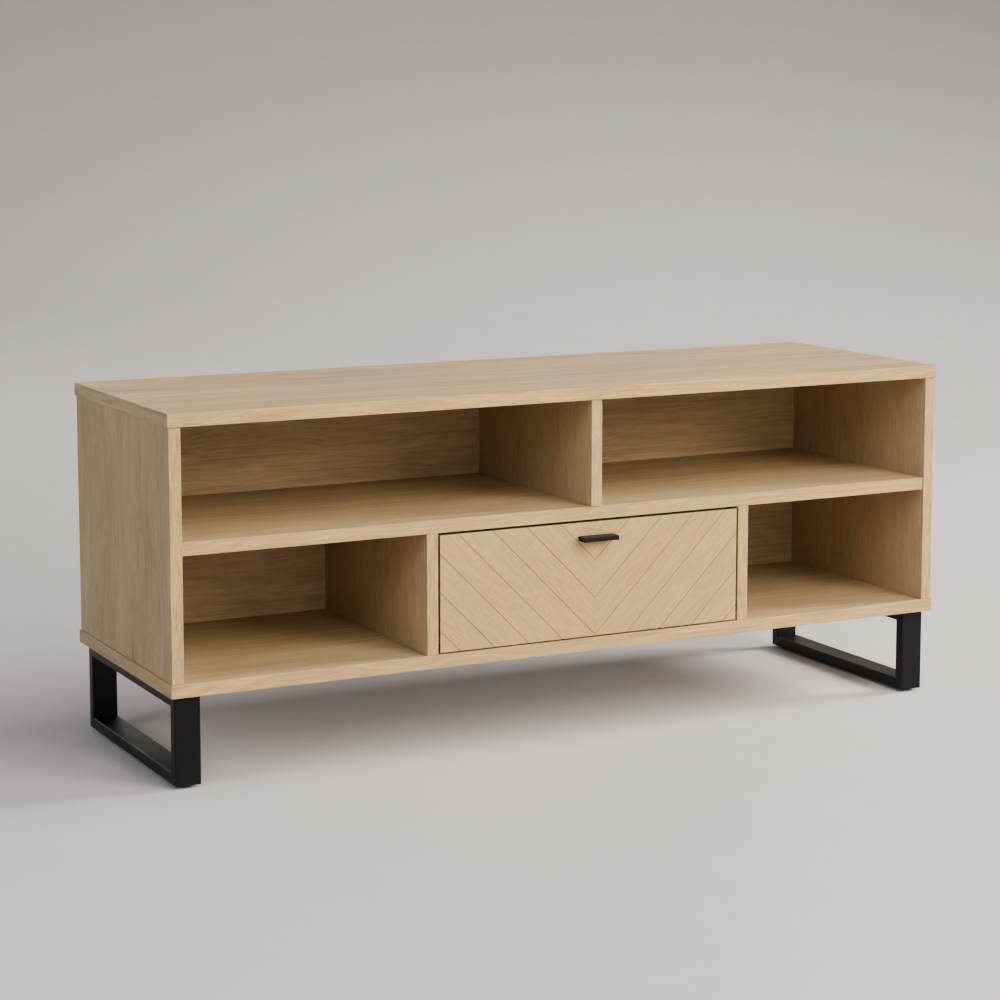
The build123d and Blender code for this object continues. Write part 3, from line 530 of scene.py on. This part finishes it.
def chevron_flap_tree():
    """The flap: two halves of planks at 45 degrees, with a groove between each plank and the next."""
    tree, t, given, result = geometry_tree("Chevron Flap", [
        ("Left", "NodeSocketFloat", 0.0), ("Right", "NodeSocketFloat", 0.4),
        ("Front", "NodeSocketFloat", 0.0), ("Rear", "NodeSocketFloat", 0.02),
        ("Bottom", "NodeSocketFloat", 0.0), ("Top", "NodeSocketFloat", 0.2),
        ("Point", "NodeSocketFloat", 0.2), ("First Point", "NodeSocketFloat", 0.05),
        ("Pitch", "NodeSocketFloat", 0.05), ("Grooves", "NodeSocketInt", 7),
        ("Groove Width", "NodeSocketFloat", 0.001), ("Groove Depth", "NodeSocketFloat", 0.001),
        ("Arris", "NodeSocketFloat", 0.0005), ("Seam", "NodeSocketFloat", 0.0002),
        ("Pin Depth", "NodeSocketFloat", 0.02), ("Pin Radius", "NodeSocketFloat", 0.004),
        ("Pin Back", "NodeSocketFloat", 0.0), ("Pin Height", "NodeSocketFloat", 0.0),
        ("Material", "NodeSocketMaterial", None)])
    left, right, front, rear = given["Left"], given["Right"], given["Front"], given["Rear"]
    bottom, top, point = given["Bottom"], given["Top"], given["Point"]

    def middle(a, b):
        """Half way between two values."""
        return t.math("MULTIPLY", t.math("ADD", a, b), 0.5)

    def moved(shape, place, turn=(0.0, 0.0, 0.0), scale=(1.0, 1.0, 1.0)):
        """A shape scaled, turned and moved to its place."""
        node = t.add("GeometryNodeTransform")
        for label, value in (("Geometry", shape), ("Translation", place), ("Rotation", turn),
                             ("Scale", scale)):
            t.feed(node.inputs[label], value)
        return node.outputs["Geometry"]

    # A square bar of unit size, standing on its corner: its sides are the sides of a groove.
    bar = t.add("GeometryNodeMeshCylinder", fill_type="NGON")
    for label, value in (("Vertices", 4), ("Radius", 1.0), ("Depth", 1.0)):
        bar.inputs[label].default_value = value
    bar = bar.outputs["Mesh"]
    wide, tall = t.math("SUBTRACT", right, left), t.math("SUBTRACT", top, bottom)
    reach = t.math("MULTIPLY", t.math("MAXIMUM", wide, tall), 3.0)

    def edge_bar(place, lying, size):
        """A bar along an edge of the board, which takes off its corner."""
        turn = (0.0, math.radians(90), 0.0) if lying else (0.0, 0.0, 0.0)
        return moved(bar, place, turn, t.join(size, size, reach))

    points = t.add("GeometryNodeMeshLine", mode="OFFSET")
    t.feed(points.inputs["Count"], given["Grooves"])
    first_height = t.math("SUBTRACT", top, given["First Point"])
    t.feed(points.inputs["Start Location"], t.join(point, front, first_height))
    t.feed(points.inputs["Offset"], t.join(0.0, 0.0, t.math("MULTIPLY", given["Pitch"], -1.0)))
    # Each bar starts a little behind its point, so that its groove runs right up to the seam.
    slant_bar = moved(bar, (0.0, 0.0, 0.49))
    half_width = t.math("MULTIPLY", given["Groove Width"], 0.5)

    def half(x0, x1, outer, angle):
        """One half of the flap, with its grooves and the chamfers round it."""
        board = t.add("GeometryNodeMeshCube")
        size = t.join(t.math("SUBTRACT", x1, x0), t.math("SUBTRACT", rear, front), tall)
        t.feed(board.inputs["Size"], size)
        centre = t.join(middle(x0, x1), middle(front, rear), middle(bottom, top))
        board = moved(board.outputs["Mesh"], centre)
        grooves = t.add("GeometryNodeInstanceOnPoints")
        t.feed(grooves.inputs["Points"], points.outputs["Mesh"])
        t.feed(grooves.inputs["Instance"], slant_bar)
        grooves.inputs["Rotation"].default_value = (0.0, math.radians(angle), 0.0)
        t.feed(grooves.inputs["Scale"], t.join(half_width, given["Groove Depth"], reach))
        cutters = [grooves.outputs["Instances"]]
        for y in (front, rear):
            cutters.append(edge_bar(t.join(outer, y, middle(bottom, top)), False, given["Arris"]))
            for z in (bottom, top):
                cutters.append(edge_bar(t.join(middle(x0, x1), y, z), True, given["Arris"]))
        cutters.append(edge_bar(t.join(point, front, middle(bottom, top)), False, given["Seam"]))
        bore = t.add("GeometryNodeMeshCylinder", fill_type="NGON")
        bore.inputs["Vertices"].default_value = 32
        t.feed(bore.inputs["Radius"], given["Pin Radius"])
        t.feed(bore.inputs["Depth"], t.math("MULTIPLY", given["Pin Depth"], 2.0))
        cutters.append(moved(bore.outputs["Mesh"], t.join(outer, given["Pin Back"], given["Pin Height"]),
                             (0.0, math.radians(90), 0.0)))
        for cutter in cutters:
            difference = t.add("GeometryNodeMeshBoolean", operation="DIFFERENCE", solver="EXACT")
            t.feed(difference.inputs["Mesh 1"], board)
            t.feed(difference.inputs["Mesh 2"], cutter)
            board = difference.outputs["Mesh"]
        joined = t.add("GeometryNodeMergeByDistance")
        t.feed(joined.inputs["Geometry"], board)
        joined.inputs["Distance"].default_value = 0.002 * MM
        return joined.outputs["Geometry"]

    both = t.add("GeometryNodeJoinGeometry")
    t.feed(both.inputs[0], half(left, point, left, -45.0))
    t.feed(both.inputs[0], half(point, right, right, 45.0))
    real = t.add("GeometryNodeRealizeInstances")
    t.feed(real.inputs[0], both.outputs[0])
    dressed = t.add("GeometryNodeSetMaterial")
    t.feed(dressed.inputs["Geometry"], real.outputs[0])
    t.feed(dressed.inputs["Material"], given["Material"])
    t.feed(result, dressed.outputs[0])
    return tree


def dress(nodes, material):
    """Gives CAD nodes a finish."""
    for name in nodes:
        mesh = NODES[name].data
        mesh.materials.clear()
        mesh.materials.append(material)


# ---- operators -------------------------------------------------------------------------------------

class DressBoards(bpy.types.Operator):
    """Give each board its oak veneer"""
    bl_idname = "tvstand.dress_boards"
    bl_label = "Boards"

    def execute(self, context):
        for i, name in enumerate(BOARDS_ALONG):
            figure = TOP_FIGURE if name == "top_board" else {}
            sheet = (1.7 * i, 0.61 * i, 0.37 * i)
            dress([name], oak_board_material("veneer_" + name, False, sheet, **figure))
        for i, name in enumerate(BOARDS_UPRIGHT):
            figure = LEFT_SIDE_FIGURE if name == "side_left" else UPRIGHT_FIGURE
            sheet = (5.3 + 1.1 * i, 0.83 * i, 0.29 * i)
            dress([name], oak_board_material("veneer_" + name, True, sheet, **figure))
        return {"FINISHED"}


class BuildFlap(bpy.types.Operator):
    """Build the flap's planks and grooves"""
    bl_idname = "tvstand.build_flap"
    bl_label = "Flap"

    def execute(self, context):
        flap = context.scene.flap_settings
        low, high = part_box("flap_door")
        sleeve_low, sleeve_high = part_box("hinge_sleeves")
        pin = (sleeve_low + sleeve_high) / 2
        planks = made_by(chevron_flap_tree(), "chevron_flap", Left=low.x, Right=high.x, Front=low.y,
                         Rear=high.y, Bottom=low.z, Top=high.z, Point=middle_of("flap_handle").x,
                         First_Point=flap.first_point, Pitch=flap.pitch, Grooves=flap.grooves,
                         Groove_Width=flap.groove_width, Groove_Depth=flap.groove_depth, Arris=flap.arris,
                         Seam=flap.seam, Pin_Depth=PIN_BORE_DEPTH,
                         Pin_Radius=(sleeve_high.z - sleeve_low.z) / 2,
                         Pin_Back=pin.y, Pin_Height=pin.z, Material=oak_chevron_material())
        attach(planks, "flap")
        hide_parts("flap_door")
        return {"FINISHED"}


class DressMetal(bpy.types.Operator):
    """Coat the leg frames and the handle, and plate the small steel pieces"""
    bl_idname = "tvstand.dress_metal"
    bl_label = "Metal"

    def execute(self, context):
        metal = context.scene.metal_settings
        dress(LEG_FRAMES, speckled_material("black_powder_coat", metal.coat, metal.coat_roughness,
                                            shine=0.15))
        dress(["flap_handle"], speckled_material("black_handle", metal.handle, 0.48, shine=0.14))
        dress(ZINC_PIECES, speckled_material("zinc_plate", metal.zinc, 0.4, 1.0, 1.5 * MM))
        dress(["hinge_sleeves"], speckled_material("turned_brass", metal.brass, 0.3, 1.0, 1.0 * MM))
        dress(["hinge_pins"], speckled_material("blackened_steel", (0.03, 0.027, 0.024, 1.0), 0.5, 0.7))
        dress(["catch_magnet"], speckled_material("ground_ferrite", (0.05, 0.05, 0.052, 1.0), 0.45, 0.4))
        return {"FINISHED"}


class DressPlastic(bpy.types.Operator):
    """Give the glides, bushes, catch and dowels their finish"""
    bl_idname = "tvstand.dress_plastic"
    bl_label = "Glides and Inner Pieces"

    def execute(self, context):
        dress(["floor_glides"], speckled_material("black_glide", (0.02, 0.02, 0.02, 1.0), 0.6))
        dress(["hinge_bushes"], speckled_material("brown_nylon", (0.10, 0.055, 0.028, 1.0), 0.5))
        dress(["catch_body"], speckled_material("brown_catch", (0.16, 0.09, 0.045, 1.0), 0.5))
        oak = context.scene.oak_settings
        material, t, shader, place = new_material("beech_dowel")
        figure = place_group(t, oak_figure(), Along_Grain=place.outputs["Object"],
                             Wood=(0.52, 0.34, 0.19, 1.0), Pore=tuple(oak.pore), Contrast=0.5,
                             Streaks=0.5, Tint=0.4, Flecks=0.6, Roughness=0.6)
        t.feed(shader.inputs["Base Color"], figure["Colour"])
        t.feed(shader.inputs["Roughness"], figure["Roughness"])
        dress(["top_dowels", "bottom_dowels", "shelf_dowels"], material)
        return {"FINISHED"}


class BuildStage(bpy.types.Operator):
    """Make the floor and backdrop, the lights and the camera"""
    bl_idname = "tvstand.build_stage"
    bl_label = "Stage"

    def execute(self, context):
        stage = context.scene.stage_settings
        seamless_floor(stage)
        soft_sky(context.scene, stage)
        studio_lights(stage)
        set_camera(context.scene, stage)
        return {"FINISHED"}


def seamless_floor(stage):
    """A round floor that sweeps up into a low wall on every side, without a corner between them."""
    level, sweep, steepest = 3.0, 7.0, math.radians(82)
    level_rings, sweep_rings, turns = 6, 40, 96
    profile = [(level * i / level_rings, 0.0) for i in range(1, level_rings + 1)]
    for i in range(1, sweep_rings + 1):
        rise = steepest * i / sweep_rings
        profile.append((level + sweep * math.sin(rise), sweep * (1 - math.cos(rise))))
    shape = bmesh.new()
    centre = shape.verts.new((0.0, 0.0, 0.0))
    rings = []
    for radius, height in profile:
        rings.append([shape.verts.new((radius * math.cos(math.tau * j / turns),
                                       radius * math.sin(math.tau * j / turns), height))
                      for j in range(turns)])
    for j in range(turns):
        following = (j + 1) % turns
        shape.faces.new((centre, rings[0][j], rings[0][following]))
        for inner, outer in zip(rings, rings[1:]):
            shape.faces.new((inner[j], outer[j], outer[following], inner[following]))
    for face in shape.faces:
        face.smooth = True
    mesh = bpy.data.meshes.new("seamless_floor")
    shape.to_mesh(mesh)
    shape.free()
    floor = bpy.data.objects.new("seamless_floor", mesh)
    bpy.context.scene.collection.objects.link(floor)
    material, t, shader, place = new_material("studio_paper")
    skin = place_group(t, fine_speckle(), Place=place.outputs["Object"], Colour=tuple(stage.floor),
                       Grain_Size=4 * MM)
    t.feed(shader.inputs["Base Color"], t.mix(0.25, tuple(stage.floor), skin["Colour"]))
    shader.inputs["Roughness"].default_value = 0.85
    shader.inputs["Specular IOR Level"].default_value = 0.2
    mesh.materials.append(material)


def soft_sky(scene, stage):
    """A faint, even light from all round."""
    world = bpy.data.worlds.new("soft_sky")
    world.use_nodes = True
    background = world.node_tree.nodes["Background"]
    background.inputs["Color"].default_value = tuple(stage.sky)
    background.inputs["Strength"].default_value = stage.sky_strength
    scene.world = world


def area_light(name, place, target, size, power, tint=WARM_LIGHT):
    """A softbox that faces its target."""
    data = bpy.data.lights.new(name, "AREA")
    data.shape = "RECTANGLE"
    data.size, data.size_y = size
    data.energy = power
    data.color = tint
    light = bpy.data.objects.new(name, data)
    light.location = place
    light.rotation_euler = (Vector(target) - Vector(place)).to_track_quat("-Z", "Y").to_euler()
    light.visible_camera = False
    bpy.context.scene.collection.objects.link(light)


def studio_lights(stage):
    """Softboxes: the strongest far out on the right, with weaker ones filling the front and the left."""
    stand = (0.0, 0.0, 0.25)
    power = stage.light_power
    area_light("far_right", (4.6, -0.6, 2.4), stand, (1.5, 1.5), 6.13 * power)
    area_light("wide_right", (2.9, -2.7, 1.9), stand, (1.5, 1.5), 0.57 * power)
    area_light("front_right", (1.7, -3.3, 1.9), stand, (1.5, 1.5), 1.28 * power)
    area_light("front_top", (0.6, -2.6, 3.3), stand, (1.6, 1.2), 0.93 * power)
    area_light("front_high", (-0.4, -3.2, 2.4), stand, (1.2, 1.2), 0.41 * power)
    area_light("front_fill", (-0.6, -4.6, 1.3), stand, (3.0, 2.0), 0.38 * power)
    area_light("left_fill", (-6.6, -2.3, 3.0), stand, (3.6, 3.6), 2.62 * power, COOL_LIGHT)
    area_light("rear_fill", (-0.6, 3.8, 1.7), stand, (2.2, 1.4), 0.41 * power)
    area_light("backdrop_low", (2.2, 3.7, 2.2), (2.2, 4.0, 0.0), (2.2, 1.2), 0.37 * power)
    area_light("backdrop_high", (2.5, 4.2, 4.2), (2.5, 4.6, 0.0), (3.0, 2.0), 0.41 * power)


def set_camera(scene, stage):
    """Stands the camera in its place and gives it to the scene."""
    data = bpy.data.cameras.new("camera")
    data.sensor_width = 36.0
    data.lens = stage.camera_lens
    data.shift_y = stage.camera_shift
    data.clip_end = 100.0
    camera = bpy.data.objects.new("camera", data)
    camera.location = stage.camera_place
    camera.rotation_euler = Euler((math.radians(90) - stage.camera_pitch, 0.0, -stage.camera_yaw))
    scene.collection.objects.link(camera)
    scene.camera = camera


class TvStandPanel(bpy.types.Panel):
    """Lists the steps that dress the stand"""
    bl_idname = "VIEW3D_PT_tvstand"
    bl_label = "TV Stand"
    bl_space_type = "VIEW_3D"
    bl_region_type = "UI"
    bl_category = "TV Stand"

    def draw(self, context):
        for step in STEPS:
            self.layout.operator(step.bl_idname)


STEPS = (DressBoards, BuildFlap, DressMetal, DressPlastic, BuildStage)
SETTINGS = {"oak_settings": OakSettings, "flap_settings": FlapSettings,
            "metal_settings": MetalSettings, "stage_settings": StageSettings}


def register():
    for cls in (*SETTINGS.values(), *STEPS, TvStandPanel):
        bpy.utils.register_class(cls)
    for name, cls in SETTINGS.items():
        setattr(bpy.types.Scene, name, PointerProperty(type=cls))


def unregister():
    for name in SETTINGS:
        delattr(bpy.types.Scene, name)
    for cls in (TvStandPanel, *STEPS, *SETTINGS.values()):
        bpy.utils.unregister_class(cls)


def main():
    """Builds everything in order."""
    register()
    bpy.ops.tvstand.dress_boards()
    bpy.ops.tvstand.build_flap()
    bpy.ops.tvstand.dress_metal()
    bpy.ops.tvstand.dress_plastic()
    bpy.ops.tvstand.build_stage()


if __name__ == "__main__":
    main()
